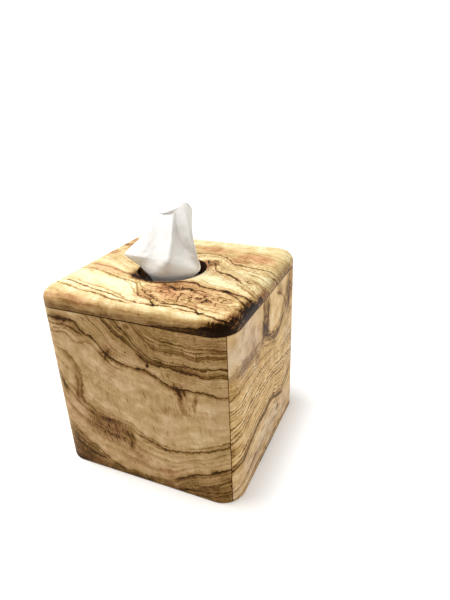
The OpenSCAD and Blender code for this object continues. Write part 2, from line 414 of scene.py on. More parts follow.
FRONT_FIGURE = Figure(
    guides=[
        [(-70, 8), (-50, 2), (-30, -4), (0, -6), (30, -4), (50, 2), (70, 8)],
        [(-70, 40), (-60, 30), (-52, 24), (-46, 19), (-38, 15), (-30, 10), (-20, 7), (0, 5),
         (16, 6), (26, 9), (32, 14), (38, 18), (50, 23), (60, 29), (70, 34)],
        [(-70, 84), (-60, 72), (-50, 60), (-42, 54), (-34, 50), (-20, 49), (-12, 47), (-5, 45),
         (0, 41), (6, 39), (12, 37), (24, 35), (32, 36), (40, 38), (50, 42), (60, 47), (70, 51)],
        [(-70, 104), (-60, 99), (-53, 97), (-47, 92), (-43, 87), (-41, 78), (-40, 68), (-36, 60),
         (-28, 55), (-18, 53), (-8, 51), (0, 46), (10, 42), (24, 39), (40, 43), (60, 52), (70, 56)],
        [(-70, 119), (-52, 121), (-40, 121), (-34, 114), (-26, 110), (-18, 102), (-10, 97),
         (0, 95), (10, 95), (20, 91), (24, 88), (34, 87), (50, 87), (60, 87), (70, 89)],
        [(-70, 160), (-40, 145), (-18, 127), (-10, 118), (-4, 114), (2, 110), (8, 105),
         (14, 101), (20, 100), (36, 100), (50, 99), (60, 100), (70, 102)],
        [(-70, 190), (-20, 150), (5, 126), (10, 119), (20, 112), (28, 111), (36, 112),
         (46, 110), (56, 113), (70, 115)],
        [(-70, 220), (0, 150), (14, 130), (30, 126), (50, 127), (70, 129)],
    ],
    tones=[(0, 0.5), (0.9, 0.62), (1.2, 0.78), (1.8, 0.8), (2, 0.7), (2.3, 0.78), (3.2, 0.84),
           (3.8, 0.84), (4, 0.76), (4.6, 0.8), (5, 0.66), (6, 0.68), (7, 0.66)],
    lines=[(0, 0), (1, 9), (2, 15), (3, 18), (4, 24), (4.6, 28), (5, 32), (6, 39), (7, 46)],
    contrast=[(0, 0.5), (1, 0.45), (1.3, 0.2), (1.8, 0.25), (2.1, 0.3), (3, 0.1), (3.9, 0.1),
              (4.1, 0.25), (4.6, 0.3), (5, 0.6), (6, 0.55), (7, 0.55)],
    flecks=0.4,
    mottle=0.65,
    veins=[
        ([(-68, 119), (-52, 121), (-40, 121), (-34, 114), (-26, 110), (-18, 102), (-10, 97),
          (0, 95), (10, 95), (20, 91), (24, 88), (34, 87), (50, 87), (60, 87), (70, 89)],
         1.0, 0.6, -3.5),
        ([(-68, 117), (-58, 116), (-48, 117), (-38, 113), (-32, 109)], 0.7, 0.45, 0),
        ([(-68, 114), (-58, 113), (-48, 114), (-40, 110)], 0.6, 0.35, 0),
        ([(-68, 110), (-58, 110), (-50, 111), (-42, 106)], 0.6, 0.35, 2),
        ([(-48, 107), (-40, 105), (-30, 107), (-22, 100), (-14, 94)], 0.7, 0.25, 0),
        ([(-34, 110), (-26, 106), (-20, 99), (-12, 92), (-4, 91)], 0.7, 0.25, -3),
        ([(-30, 128), (-24, 121), (-16, 113), (-9, 104)], 0.8, 0.2, 3),
        ([(-24, 132), (-18, 127), (-10, 118), (-4, 114), (2, 110), (8, 105), (14, 101),
          (20, 100), (36, 100), (50, 99), (60, 100), (70, 102)], 1.0, 0.45, 4),
        ([(-10, 129), (-2, 120), (4, 113), (10, 108), (16, 104), (24, 102), (45, 104),
          (70, 107)], 0.8, 0.36, 0),
        ([(2, 130), (10, 119), (20, 112), (28, 111), (36, 112), (46, 110), (56, 113), (70, 115)],
         0.8, 0.36, 3),
        ([(14, 122), (20, 119), (30, 117), (40, 118), (50, 118), (60, 119), (70, 121)],
         0.8, 0.3, 0),
        ([(-38, 60), (-28, 57), (-20, 53), (-12, 49), (-4, 46), (2, 43)], 0.7, 0.12, 0),
        ([(-12, 50), (-4, 48), (4, 42), (12, 39), (24, 37)], 0.6, 0.3, 0),
        ([(-62, 36), (-56, 26), (-48, 20), (-40, 16), (-30, 9)], 0.7, 0.35, 0),
        ([(-4, 44), (0, 41), (6, 39), (12, 37), (24, 35), (32, 36), (40, 38), (50, 42),
          (60, 47), (70, 51)], 0.8, 0.36, -2),
        ([(38, 40), (50, 45), (60, 50), (70, 54)], 0.7, 0.25, 0),
        ([(2, 36), (8, 36), (14, 34), (20, 34), (28, 31)], 0.8, 0.28, 0),
        ([(24, 9), (32, 14), (38, 18), (50, 23), (60, 29), (70, 33)], 1.1, 0.5, -4),
        ([(43, 9), (52, 13), (57, 15), (62, 19), (70, 24)], 0.8, 0.35, 0),
        ([(25, 2), (40, 5), (50, 7), (60, 10), (70, 14)], 0.9, 0.35, 0),
        ([(-64, 29), (-52, 17), (-46, 13), (-40, 11), (-32, 10)], 1.1, 0.5, 0),
        ([(-58, 32), (-50, 26), (-44, 21), (-38, 18), (-33, 14), (-26, 9), (-16, 5)],
         1.0, 0.42, 3),
        ([(-52, 62), (-46, 54), (-40, 50), (-34, 46)], 1.0, 0.3, 0),
    ],
    steep_veins=[
        ([(50, -32), (54, -36), (59, -42), (66, -43), (75, -41), (84, -42), (90, -45),
          (95, -50), (99, -58), (101, -68)], 1.4, 0.4, -8),
        ([(48, -39), (52, -43), (58, -47), (64, -47), (72, -45), (80, -46)], 0.9, 0.22, -3),
        ([(64, -57), (72, -58), (80, -61)], 1.4, 0.35, 0),
        ([(94, -20), (101, -17), (108, -12)], 1.0, 0.32, 3),
        ([(79, 35), (85, 34), (91, 31)], 0.9, 0.5, 2),
        ([(80, 39), (86, 37), (91, 35)], 0.7, 0.45, 0),
        ([(24, -9), (32, -7), (40, -11)], 0.8, 0.18, 2),
        ([(31, -19), (38, -16), (47, -22)], 0.8, 0.15, 3),
    ],
    spots=[
        ((-25, 41), (26, 17), -12, -0.36, 0.4),
        ((-7, 33), (4, 12), 0, -0.3, 0),
        ((-8, 24), (22, 12), -20, -0.14, 0.3),
        ((-44, 72), (6, 20), 0, -0.1, 0.2),
        # Painted shade: this spot darkens the bottom strip of the board, next to the floor
        ((-10, -3), (80, 14), 0, -0.3, 0),
        ((-60, 6), (26, 20), 0, -0.22, 0.2),
        ((-59, 66), (4, 9), 0, -0.25, 0),
        ((-50, 121), (15, 4), 0, -0.2, 0),
        ((-37, 115), (9, 6), -45, -0.25, 0),
        ((22, 24), (44, 12), 10, 0.07, 0.2),
        ((-56, 104), (14, 7), 0, -0.08, 0),
        ((-15, 101), (8, 8), -35, -0.25, 0),
        ((34, 86), (6, 6), 0, -0.3, 0),
        ((36, 77), (3, 13), 0, -0.4, 0.5),
        ((45, 78), (2, 10), 0, -0.35, 0.3),
        ((39, 66), (3, 8), 0, -0.12, 0.5),
        ((13.5, 98.5), (1.9, 2.2), 0, -1.2, 0),
        ((3, 124), (4, 3), 0, -0.35, 0),
        ((-50, 48), (14, 26), 0, 0.06, 0.5),
        ((-18, 84), (20, 12), 0, 0.0, 0.4),
        ((56, 27), (7, 4), 25, -0.2, 0),
        ((-8, 29), (5, 7), 0, -0.16, 0),
        ((22, 14), (10, 7), 0, -0.06, 0.6),
    ],
    swirls=[
        ((-14, 102), (9, 9), (3.2, 4.0, 1.0), 0.6),
        ((34, 86), (8, 7), (3.0, 4.0, 1.0), 0.6),
        ((-24, 39), (24, 15), (3.2, 15.0, 1.0), 0.45),
        ((-50, 118), (15, 7), (14.0, 2.5, 1.0), 0.45),
        ((-52, 22), (16, 16), (12.0, 7.0, 1.0), 0.3),
        ((36, 70), (34, 19), (6.0, 40.0, 1.0), 0.12),
        ((-20, 74), (18, 20), (9.0, 14.0, 1.0), 0.14),
    ],
)

RIGHT_FIGURE = Figure(
    guides=[
        [(-70, 0), (0, 2), (70, -4)],
        [(-70, 28), (-50, 31), (-40, 34), (-25, 38), (-15, 38), (0, 40), (8, 39), (15, 35),
         (22, 32), (28, 30), (40, 34), (50, 38), (70, 40)],
        [(-70, 62), (-40, 66), (-20, 68), (0, 67), (20, 64), (40, 60), (70, 56)],
        [(-70, 83), (-50, 86), (-30, 87), (-20, 87), (-10, 85), (0, 83), (10, 81), (25, 79),
         (40, 80), (70, 84)],
        [(-70, 93), (-40, 94), (-24, 92), (-12, 91), (0, 87), (12, 84), (22, 87), (32, 94),
         (44, 102), (70, 108)],
        [(-70, 97), (-40, 98), (-22, 97), (-10, 96), (0, 92), (12, 89), (22, 92), (32, 100),
         (44, 110), (70, 118)],
        [(-70, 101), (-40, 103), (-22, 103), (-12, 103), (-4, 100), (4, 97), (12, 96),
         (20, 99), (27, 106), (33, 116), (40, 128), (60, 150), (70, 160)],
        [(-70, 170), (70, 170)],
    ],
    tones=[(0, 0.7), (0.9, 0.82), (1, 0.66), (1.2, 0.8), (2, 0.86), (3, 0.84), (3.1, 0.88),
           (4, 0.8), (4.5, 0.78), (5, 0.72), (5.9, 0.66), (6.1, 0.8), (7, 0.82)],
    lines=[(0, 0), (1, 7), (2, 16), (3, 24), (4, 29), (5, 34), (6, 40), (7, 41)],
    contrast=[(0, 0.5), (0.8, 0.4), (1, 1.0), (2, 1.0), (3, 0.8), (4, 0.8), (5, 0.9),
              (6, 0.8), (6.2, 0.15), (7, 0.15)],
    flecks=0.25,
    mottle=0.8,
    veins=[
        ([(-70, 83), (-50, 86), (-30, 87), (-20, 87), (-10, 85), (0, 83), (10, 81)], 0.9, 0.36, 0),
        ([(-70, 28), (-50, 31), (-40, 34), (-25, 38), (-15, 38), (0, 40), (8, 39), (15, 35),
          (22, 32), (30, 30)], 1.7, 0.45, -5),
        ([(-14, 104), (-4, 98), (4, 95), (12, 92), (22, 94), (32, 100)], 0.9, 0.36, 0),
        ([(-8, 96), (2, 91), (12, 88), (22, 91), (30, 95)], 0.8, 0.3, 0),
        ([(12, 122), (20, 119), (26, 116), (31, 111), (35, 103), (38, 94)], 1.2, 0.4, 3),
        ([(-4, 98), (4, 92), (12, 90), (22, 92), (32, 99)], 0.9, 0.4, -3),
        ([(-30, 94), (-16, 94), (-6, 91), (4, 87), (14, 84)], 0.8, 0.3, 0),
        ([(30, 36), (38, 38), (50, 43)], 0.9, 0.35, 0),
    ],
    steep_veins=[
        ([(96, -16), (104, -14), (114, -12), (128, -12)], 1.3, 0.35, -3),
        ([(96, -4), (104, -5), (114, -3), (128, -2)], 1.0, 0.35, -4),
        ([(96, 38), (104, 43), (112, 44), (120, 46)], 1.6, 0.35, 3),
    ],
    spots=[
        ((-44, 114), (40, 26), 0, 0.0, 1.0),
        ((0, 16), (90, 26), 0, 0.04, 0.8),
        ((-10, 64), (70, 30), 0, 0.0, -0.4),
        ((-34, 112), (12, 9), 0, -0.14, 0),
        ((-42, 98), (20, 8), 0, -0.18, 0.4),
        ((-26, 96), (5, 12), 25, -0.24, 0),
        ((-8, 114), (10, 22), 0, -0.4, 0),
        ((17, 108), (15, 16), 0, 0.1, -1.0),
        ((43, 108), (9, 16), 0, -0.28, 0),
        ((24, 122), (14, 7), -30, -0.2, 0),
        ((17.5, 23), (0.9, 3.4), 0, -0.9, 0),
        ((-66, 45), (8, 34), 0, -0.22, 0),
        ((-25, 14), (26, 7), 0, -0.12, 0),
        # Painted shade: this spot darkens the bottom strip of the board, next to the floor
        ((10, 0), (80, 8), 0, -0.2, 0),
        ((40, 75), (16, 22), 0, -0.04, 0.4),
    ],
    swirls=[
        ((42, 108), (14, 24), (8.0, 18.0, 1.0), 0.5),
        ((-6, 112), (13, 22), (6.0, 24.0, 1.0), 0.45),
    ],
)

TOP_FIGURE = Figure(
    guides=[
        [(-70, -79), (70, -79)],
        [(-70, -77.5), (10, -77), (20, -76), (40, -74), (55, -72), (70, -69)],
        [(-70, -49), (-62, -49), (-50, -52), (-40, -54), (-30, -56), (-20, -58), (-10, -60),
         (0, -61), (20, -62), (40, -62.5), (70, -64)],
        [(-70, -43), (-58, -44), (-50, -46), (-40, -48), (-30, -51), (-20, -53), (-10, -56),
         (0, -58), (10, -59), (20, -60), (26, -57), (40, -58), (50, -60), (70, -62)],
        [(-70, -21), (-56, -20), (-50, -22), (-40, -25), (-30, -29), (-20, -31), (-14, -33),
         (-8, -38), (-4, -44), (0, -48), (6, -50), (10, -52), (14, -56), (20, -58), (30, -55),
         (50, -58), (70, -60)],
        [(-70, -12), (-50, -13), (-40, -16), (-30, -20), (-18, -23), (-10, -27), (0, -28),
         (10, -25), (20, -21), (27, -21), (32, -24), (45, -26), (58, -29), (70, -34)],
        [(-70, 6), (-56, 2), (-46, -3), (-36, -10), (-28, -14), (-18, -16), (0, -10), (14, 4),
         (22, 12), (26, 10), (31, 3), (38, 0), (44, -3), (50, -7), (54, -12), (62, -20),
         (70, -26)],
        [(-70, 30), (-40, 20), (-20, 12), (-4, 28), (4, 31), (10, 33), (15, 33), (20, 32),
         (26, 29), (32, 24), (36, 19), (42, 17), (50, 16), (60, 14), (70, 11)],
        [(-70, 44), (-40, 40), (0, 46), (30, 44), (60, 36), (70, 32)],
        [(-70, 70), (0, 62), (30, 60), (70, 56)],
        [(-70, 100), (70, 90)],
    ],
    tones=[(0, 0.26), (0.9, 0.3), (1, 0.5), (1.3, 0.54), (1.5, 0.62), (1.7, 0.84), (2, 0.93),
           (3, 0.97), (3.9, 0.98), (4.1, 0.9), (4.9, 0.84), (5.1, 0.82), (5.5, 0.94),
           (6, 0.86), (6.6, 0.92), (7, 0.82), (7.2, 0.76), (8, 0.78), (8.4, 0.9), (9, 0.93),
           (10, 0.88)],
    lines=[(0, 0), (1, 2), (2, 8), (3, 10), (4, 12), (5, 19), (6, 27), (7, 41), (8, 50),
           (9, 55), (10, 59)],
    contrast=[(0, 0.3), (0.9, 0.3), (1, 0.12), (2, 0.14), (3, 0.06), (3.9, 0.05), (4.1, 0.35), (5, 0.36),
              (5.5, 0.25), (6, 0.6), (7, 0.6), (8, 0.4), (9, 0.15), (10, 0.15)],
    flecks=0.25,
    mottle=0.6,
    veins=[
        ([(-66, -43), (-58, -44), (-50, -46), (-40, -48), (-30, -51), (-20, -53), (-10, -56),
          (0, -58), (10, -59), (20, -60)], 0.9, 0.55, 0),
        ([(-66, -48), (-50, -52), (-40, -54), (-30, -56), (-20, -58), (-10, -60), (2, -61)],
         0.9, 0.5, 0),
        ([(-54, -41), (-40, -44), (-28, -47), (-16, -51), (-4, -56)], 0.7, 0.35, 0),
        ([(-68, -21), (-56, -20), (-50, -22), (-40, -25), (-30, -29), (-20, -31), (-14, -33),
          (-8, -38), (-4, -44), (0, -48), (6, -50), (10, -52), (14, -56), (18, -60)],
         0.9, 0.42, 0),
        ([(-24, -30), (-16, -35), (-9, -42), (-3, -47), (4, -51), (11, -54), (17, -59)],
         0.7, 0.35, 0),
        ([(-14, -31), (-6, -36), (0, -43), (8, -48), (16, -53), (22, -57)], 0.7, 0.35, 0),
        ([(-62, -12), (-50, -13), (-40, -16), (-30, -20), (-18, -23)], 1.0, 0.4, 0),
        ([(-22, -21), (-10, -27), (0, -28), (12, -24), (20, -20), (27, -21), (32, -24),
          (38, -26), (45, -26), (52, -27), (58, -29), (72, -35)], 1.2, 0.62, -4),
        ([(48, -27), (56, -31), (62, -36), (70, -43)], 1.2, 0.5, 0),
        ([(6, -29), (14, -31), (20, -35), (26, -31), (30, -33), (34, -31), (42, -33)],
         0.9, 0.5, 0),
        ([(50, -12), (58, -20), (64, -24), (72, -30)], 0.9, 0.35, 3),
        ([(54, -2), (62, -8), (72, -14)], 0.8, 0.3, 0),
        ([(50, 6), (58, 2), (66, -2), (72, -5)], 0.8, 0.3, 0),
        ([(40, 10), (52, 9), (62, 6), (72, 3)], 0.7, 0.25, 0),
        ([(14, -55), (18, -60), (20, -57), (26, -55), (32, -54), (38, -55), (44, -57),
          (48, -60), (51, -58)], 1.1, 0.6, 0),
        ([(16, -60), (28, -58), (38, -59), (48, -60), (58, -62), (72, -63)], 1.0, 0.55, 0),
        ([(22, 16), (26, 11), (28, 6), (31, 2), (38, 0), (44, -3), (50, -7), (56, -14)],
         1.2, 0.55, 0),
        ([(0, 29), (4, 31), (10, 33), (15, 33), (20, 32), (26, 29), (32, 24), (36, 19),
          (42, 17), (50, 16), (60, 14), (72, 11)], 1.1, 0.5, 0),
    ],
    steep_veins=[],
    spots=[
        # The first spot is darker wood with painted shadow under the tissue in front of the hole, the
        # second painted shade on the front-left rim and wall of the hole
        ((-8, -25), (19, 7), 0, -0.7, 0),
        ((-18, -18), (11, 9), 0, -0.6, 0),
        ((18, 12), (11, 14), -20, -0.36, 0.4),
        ((70, -66), (22, 12), 20, -0.7, 0),
        ((70, -46), (8, 24), 0, -0.6, 0.2),
        ((77, -42), (9, 32), 0, -0.95, 0.3),
        ((77, -6), (9, 28), 0, -0.28, 0.4),
        ((77, 30), (9, 30), 0, -0.25, 0.3),
        ((47, 33), (24, 12), -15, -0.1, 1.0),
        ((38, 24), (12, 5), -20, -0.12, 0.6),
        ((10, 42), (18, 7), 0, -0.14, 0.8),
        ((-45, -18), (22, 7), -15, 0.0, 1.0),
        ((33, -45), (8, 6), 0, 0.2, -0.3),
        ((-64, 46), (10, 6), 0, -0.3, 0.5),
        ((-64, 15), (10, 7), 0, -0.22, 0.8),
        ((-62, 34), (10, 5), 0, -0.28, 0),
        ((38, -14), (24, 9), -15, 0.14, -0.3),
        ((27, -43), (50, 19), 0, -0.2, 0.3),
        ((14, -36), (14, 7), -30, -0.14, 0.3),
        ((58, 4), (20, 26), 0, 0.06, -0.2),
        ((20, -28), (20, 9), 0, -0.3, 0.3),
        ((-40, -66), (40, 10), 0, 0.0, 0.4),
    ],
    swirls=[
        ((16, -41), (34, 20), (12.0, 9.0, 1.0), 0.5),
        ((48, -43), (28, 18), (15.0, 8.0, 1.0), 0.5),
        ((20, 12), (18, 18), (7.0, 18.0, 1.0), 0.6),
        ((54, -12), (18, 12), (12.0, 8.0, 1.0), 0.4),
    ],
)


WOOD_SHEEN = srgb(240, 205, 160)
FIBRE_DEPTH = 0.0001
# A joint's glue line is this dark, and so is the painted shade on the wall of the top board's
# hole; all of it lies this near the joint or that wall, in millimetres
GLUE_AND_HOLE_SHADE_DARK = 0.6
GLUE_AND_HOLE_SHADE_REACH = 0.6
# How much v grows for each millimetre of depth into a side board
END_GRAIN_SLOPE = 0.5


def wood(name, along, across, seed, figure, first, second, glue_line_and_hole_shade):
    """A board's material. along and across say how u and v come from the position in
    millimetres, first and second are its palettes, and the last argument is how far the point is
    from the nearest joint or, on the top board, from the wall of the hole. Near a joint the wood
    gets a dark glue line, and on the wall of the hole it gets painted shade."""
    material, tree, shader = new_material(name)
    coordinates = tree.nodes.new("ShaderNodeTexCoord")
    axes = tree.nodes.new("ShaderNodeSeparateXYZ")
    tree.links.new(coordinates.outputs["Object"], axes.inputs[0])
    x, y, z = (Field(tree, socket) * (1 / MM) for socket in axes.outputs)
    u = along(x, y, z)
    v = across(x, y, z)
    tone, warmth, fibres = drawn_figure(tree, u, v, seed, figure)
    # Darker near the joints, a glue line, and on the wall of the top board's hole, painted shade
    tone = tone - ease(glue_line_and_hole_shade(x, y, z), GLUE_AND_HOLE_SHADE_REACH, 0.1) * GLUE_AND_HOLE_SHADE_DARK
    colour = blended(tree, limited(warmth), ramp(tone, first), ramp(tone, second))
    tree.links.new(colour, shader.inputs["Base Color"])
    shader.inputs["Roughness"].default_value = 0.5
    shader.inputs["Specular IOR Level"].default_value = 0.1
    shader.inputs["Specular Tint"].default_value = WOOD_SHEEN
    add_bump(tree, shader, fibres, FIBRE_DEPTH)
    return material


def lesser(a, b):
    return arithmetic(a.tree, "MINIMUM", a, b)


def end_board_joints(x, y, z):
    """Distance to the joints of the front or back board."""
    return lesser(abs(y) + MITRE_SHIFT - abs(x), WALL_H - z)


def side_board_joints(x, y, z):
    """Distance to the joints of the left or right board."""
    return lesser(abs(x) - abs(y) - MITRE_SHIFT, WALL_H - z)


def top_joint_and_hole_shade(x, y, z):
    """Distance to the joint under the top board, or to the wall of its hole, which is darkened
    as painted shade.
    """
    across = x - HOLE_MIDDLE.x
    along = y - HOLE_MIDDLE.y
    from_middle = arithmetic(x.tree, "SQRT", across * across + along * along)
    return lesser(z - WALL_H, from_middle - HOLE_R)


def dress(node, material):
    """Gives a node of the frame its material."""
    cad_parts[node].data.materials[0] = material


# v grows with the depth too, so that the lines slant across the thickness of the boards
dress("front_board", wood(
    "front_wood", lambda x, y, z: x, lambda x, y, z: z + (y + HALF_D) * END_GRAIN_SLOPE, 3.0,
    FRONT_FIGURE, BROWNS, REDS, end_board_joints))
dress("back_board", wood(
    "back_wood", lambda x, y, z: x, lambda x, y, z: z + (HALF_D - y) * END_GRAIN_SLOPE, 31.0,
    FRONT_FIGURE, BROWNS, REDS, end_board_joints))
dress("right_board", wood(
    "right_wood", lambda x, y, z: y, lambda x, y, z: z + (HALF_W - x) * END_GRAIN_SLOPE, 17.0,
    RIGHT_FIGURE, PALE_BROWNS, PALE_GREYS, side_board_joints))
dress("left_board", wood(
    "left_wood", lambda x, y, z: y, lambda x, y, z: z + (x + HALF_W) * END_GRAIN_SLOPE, 47.0,
    RIGHT_FIGURE, PALE_BROWNS, PALE_GREYS, side_board_joints))
# Below the top face u and v go on outwards, as if the rounded edge were laid out flat
dress("top_board", wood(
    "top_wood", lambda x, y, z: x * (BOX_H + HALF_W - z) / HALF_W,
    lambda x, y, z: y + z - BOX_H, 5.0, TOP_FIGURE, YELLOWS, ORANGES, top_joint_and_hole_shade))


# Tissue
#
# The sheet of the frame, drawn again in finer steps, with its crease rounded where the paper is
# softer and small crumples above it. Each fold is its place at the belly, at the crease, half way
# up and at the edge, in hundredths of the reach from the middle of the hole, then the height of
# its end in hundredths of the rise, and the dish of the panel after it as a percentage.

FOLDS = [
    ((84, 20), (74, 16), (66, 16), (72, 16), 90, 20),
    ((92, 8), (80, 4), (70, 6), (65, 10), 98, 20),
    ((106, -14), (101, -30), (86, -26), (52, 4), 100, 10),
    ((93, -34), (66, -18), (34, -14), (24, 0), 88, 0),
    ((38, -84), (42, -92), (38, -53), (20, -8), 83, 0),
    ((-18, -92), (-16, -80), (-8, -46), (-8, -6), 81, 0),
    ((-66, -64), (-59, -82), (-48, -46), (-26, -4), 82, 10),
    ((-90, -34), (-117, -80), (-64, -34), (-40, 2), 82, 60),
    ((-69, 2), (-64, 0), (-48, 4), (-22, 12), 81, 40),
    ((-26, 26), (-26, 24), (-12, 22), (4, 24), 85, 50),
    ((22, 30), (22, 28), (26, 26), (30, 28), 91, 70),
    ((64, 22), (56, 24), (50, 24), (58, 24), 89, 60),
    ((69, -10), (52, 2), (46, 6), (50, 16), 85, 60),
    ((34, -54), (26, -38), (18, -10), (32, 13), 81, 40),
    ((-8, -60), (-10, -46), (-6, -18), (8, 9), 74, 30),
    ((-42, -46), (-50, -44), (-34, -20), (-12, 2), 70, 20),
    ((-60, -28), (-84, -54), (-46, -18), (-24, 6), 66, 25),
    ((-46, -14), (-46, -20), (-34, -8), (-12, 14), 68, 30),
    ((-16, -4), (-16, -4), (-4, 4), (8, 15), 70, 40),
    ((20, -8), (16, 0), (18, 6), (26, 18), 72, 40),
]
REACH = 23.2
RISE = 47.0
CREASE_RISE = 13.0
MIDDLE_RISE = 25.0
FOOT_HEIGHT = 112.1
FOOT_HALF = Vector((38.0, 2.7))
GATHER_LOW = Vector([min(fold[0][axis] for fold in FOLDS) for axis in (0, 1)])
GATHER_HIGH = Vector([max(fold[0][axis] for fold in FOLDS) for axis in (0, 1)])
GATHER_MIDDLE = (GATHER_LOW + GATHER_HIGH) / 2
GATHER_HALF = (GATHER_HIGH - GATHER_LOW) / 2
NECK_SHARE = 0.5
WAIST_SHARE = 0.74
WAIST_HEIGHT = 134.5
BELLY_HEIGHT = 140.0
# How far the crease is rounded, as a share of its two arms, for each fold
CREASE_ROUNDING = (0.4, 0.4, 0.3, 0.3, 0.03, 0.03, 0.03, 0.05, 0.2) + (0.3,) * 11
# How deep a full panel is dished at each control, from the foot to the free edge
DISHES = [share * REACH / 100 for share in (2, 2, 8, 10, 12, 9, 9, 6, 3.5, 3.5)]
# Width of a panel that is dished in full
FULL_PANEL = 34 * REACH / 100
SPANS = 8
SPAN_STEPS = 8
PANEL_STEPS = 10
# The folds are round up to this span, and sharpen over the next stretch to the least roundness
ROUND_UNTIL = 5.0
SHARPENING = 0.8
LEAST_ROUNDNESS = 0.15
# Height above the top board over which the crumples come in
CRUMPLE_RISE = 12.0
TISSUE_T = 0.15


def outline_point(place, height):
    """A place in hundredths of the reach, in millimetres."""
    point = HOLE_MIDDLE + Vector(place) * REACH / 100
    return Vector((point.x, point.y, height))


def fold_line(fold, rounding):
    """Controls from the foot to the free edge. The ends are doubled, so that the line reaches
    them, and the crease is two controls, one on each of its arms."""
    widest, crease, middle, edge, rise, _ = fold
    offset = Vector(widest) - GATHER_MIDDLE
    share = Vector((offset.x / GATHER_HALF.x, offset.y / GATHER_HALF.y))
    foot = Vector((share.x * FOOT_HALF.x, share.y * FOOT_HALF.y, FOOT_HEIGHT))
    neck = outline_point(GATHER_MIDDLE + offset * NECK_SHARE, WALL_H)
    waist = outline_point(GATHER_MIDDLE + offset * WAIST_SHARE, WAIST_HEIGHT)
    belly = outline_point(widest, BELLY_HEIGHT)
    creased = outline_point(crease, BOX_H + CREASE_RISE)
    half_way = outline_point(middle, BOX_H + MIDDLE_RISE)
    end = outline_point(edge, BOX_H + RISE * rise / 100)
    below = creased.lerp(belly, rounding)
    above = creased.lerp(half_way, rounding)
    return [foot, foot, neck, waist, belly, below, above, half_way, end, end]


def spline(controls, t):
    """Point t spans along the quadratic spline through the controls."""
    i = min(int(t), SPANS - 1)
    s = t - i
    return (controls[i] * ((1 - s) ** 2 / 2) + controls[i + 1] * (0.5 + s * (1 - s))
            + controls[i + 2] * (s ** 2 / 2))


def panel_point(a, b, share, dish):
    """Point of the panel from a to b, which is dished less where it is narrow."""
    side = b - a
    width = math.hypot(side.x, side.y)
    sag = dish * 4 * share * (1 - share) * min(1, width / FULL_PANEL)
    return a.lerp(b, share) + Vector((side.y, -side.x, 0)) * (sag / width)


def round_point(knots, i, share):
    """Point between knots i and i + 1 on a smooth curve through all of them."""
    a, b = knots[i], knots[i + 1]
    before = knots[max(i - 1, 0)]
    after = knots[min(i + 2, len(knots) - 1)]
    leaving = a + (b - before) / 6
    coming = b - (after - a) / 6
    rest = 1 - share
    return (a * rest ** 3 + leaving * (3 * share * rest ** 2)
            + coming * (3 * share ** 2 * rest) + b * share ** 3)


def crumple(point):
    """How far the sheet is pushed out of its flat panels here, in millimetres."""
    height = min(1.0, max(0.0, (point.z - BOX_H) / CRUMPLE_RISE))
    broad = mathutils.noise.noise(point / 9)
    sharp = abs(mathutils.noise.noise(point / 4 + Vector((7, 3, 5)))) - 0.2
    small = mathutils.noise.noise(point / 1.8)
    return height * (0.5 * broad + 0.6 * sharp + 0.15 * small)


def tissue_rows():
    """Points of the sheet in millimetres, row by row from the foot up."""
    lines = [fold_line(*pair) for pair in zip(FOLDS, CREASE_ROUNDING)]
    rows = []
    for step in range(SPANS * SPAN_STEPS + 1):
        t = step / SPAN_STEPS
        roundness = min(1.0, max(LEAST_ROUNDNESS, (ROUND_UNTIL - t) / SHARPENING))
        knots = [spline(line, t) for line in lines]
        dish = spline(DISHES, t)
        row = []
        for i in range(len(knots) - 1):
            for k in range(PANEL_STEPS):
                share = k / PANEL_STEPS
                flat = panel_point(knots[i], knots[i + 1], share, dish * FOLDS[i][5] / 100)
                row.append(flat.lerp(round_point(knots, i, share), roundness))
        row.append(knots[-1])
        rows.append(row)
    return rows


def add_tissue():
    rows = tissue_rows()
    count = len(rows[0])
    form = bmesh.new()
    vertices = [form.verts.new(point) for row in rows for point in row]
    for j in range(len(rows) - 1):
        for i in range(count - 1):
            p = j * count + i
            form.faces.new([vertices[k] for k in (p, p + 1, p + count + 1, p + count)])
    form.normal_update()
    pushes = [vertex.normal * crumple(vertex.co) for vertex in form.verts]
    for vertex, push in zip(form.verts, pushes):
        vertex.co = (vertex.co + push) * MM
    for face in form.faces:
        face.smooth = True
    mesh = bpy.data.meshes.new("tissue")
    form.to_mesh(mesh)
    form.free()
    tissue = bpy.data.objects.new("tissue", mesh)
    bpy.context.scene.collection.objects.link(tissue)
    thickness = tissue.modifiers.new("thickness", "SOLIDIFY")
    thickness.thickness = TISSUE_T * MM
    thickness.offset = 0.0
    mesh.materials.append(tissue_paper())
    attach(tissue, "root")
    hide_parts("pulled_tissue")


def tissue_paper():
    """Thin white paper: part of the light that falls on it comes through."""
    material, tree, shader = new_material("tissue_paper")
    white = (0.96, 0.945, 0.915, 1.0)
    through_share = 0.28
    shader.inputs["Base Color"].default_value = white
    shader.inputs["Roughness"].default_value = 0.9
    shader.inputs["Specular IOR Level"].default_value = 0.1
    through = tree.nodes.new("ShaderNodeBsdfTranslucent")
    through.inputs["Color"].default_value = white
    mixed = tree.nodes.new("ShaderNodeMixShader")
    mixed.inputs[0].default_value = through_share
    tree.links.new(shader.outputs[0], mixed.inputs[1])
    tree.links.new(through.outputs[0], mixed.inputs[2])
    tree.links.new(mixed.outputs[0], tree.nodes["Material Output"].inputs["Surface"])
    coordinates = tree.nodes.new("ShaderNodeTexCoord")
    fibres = noise(tree, coordinates.outputs["Object"], 0.0008, detail=3.0)
    add_bump(tree, shader, fibres, FIBRE_DEPTH)
    return material


add_tissue()


# Card and paper inside


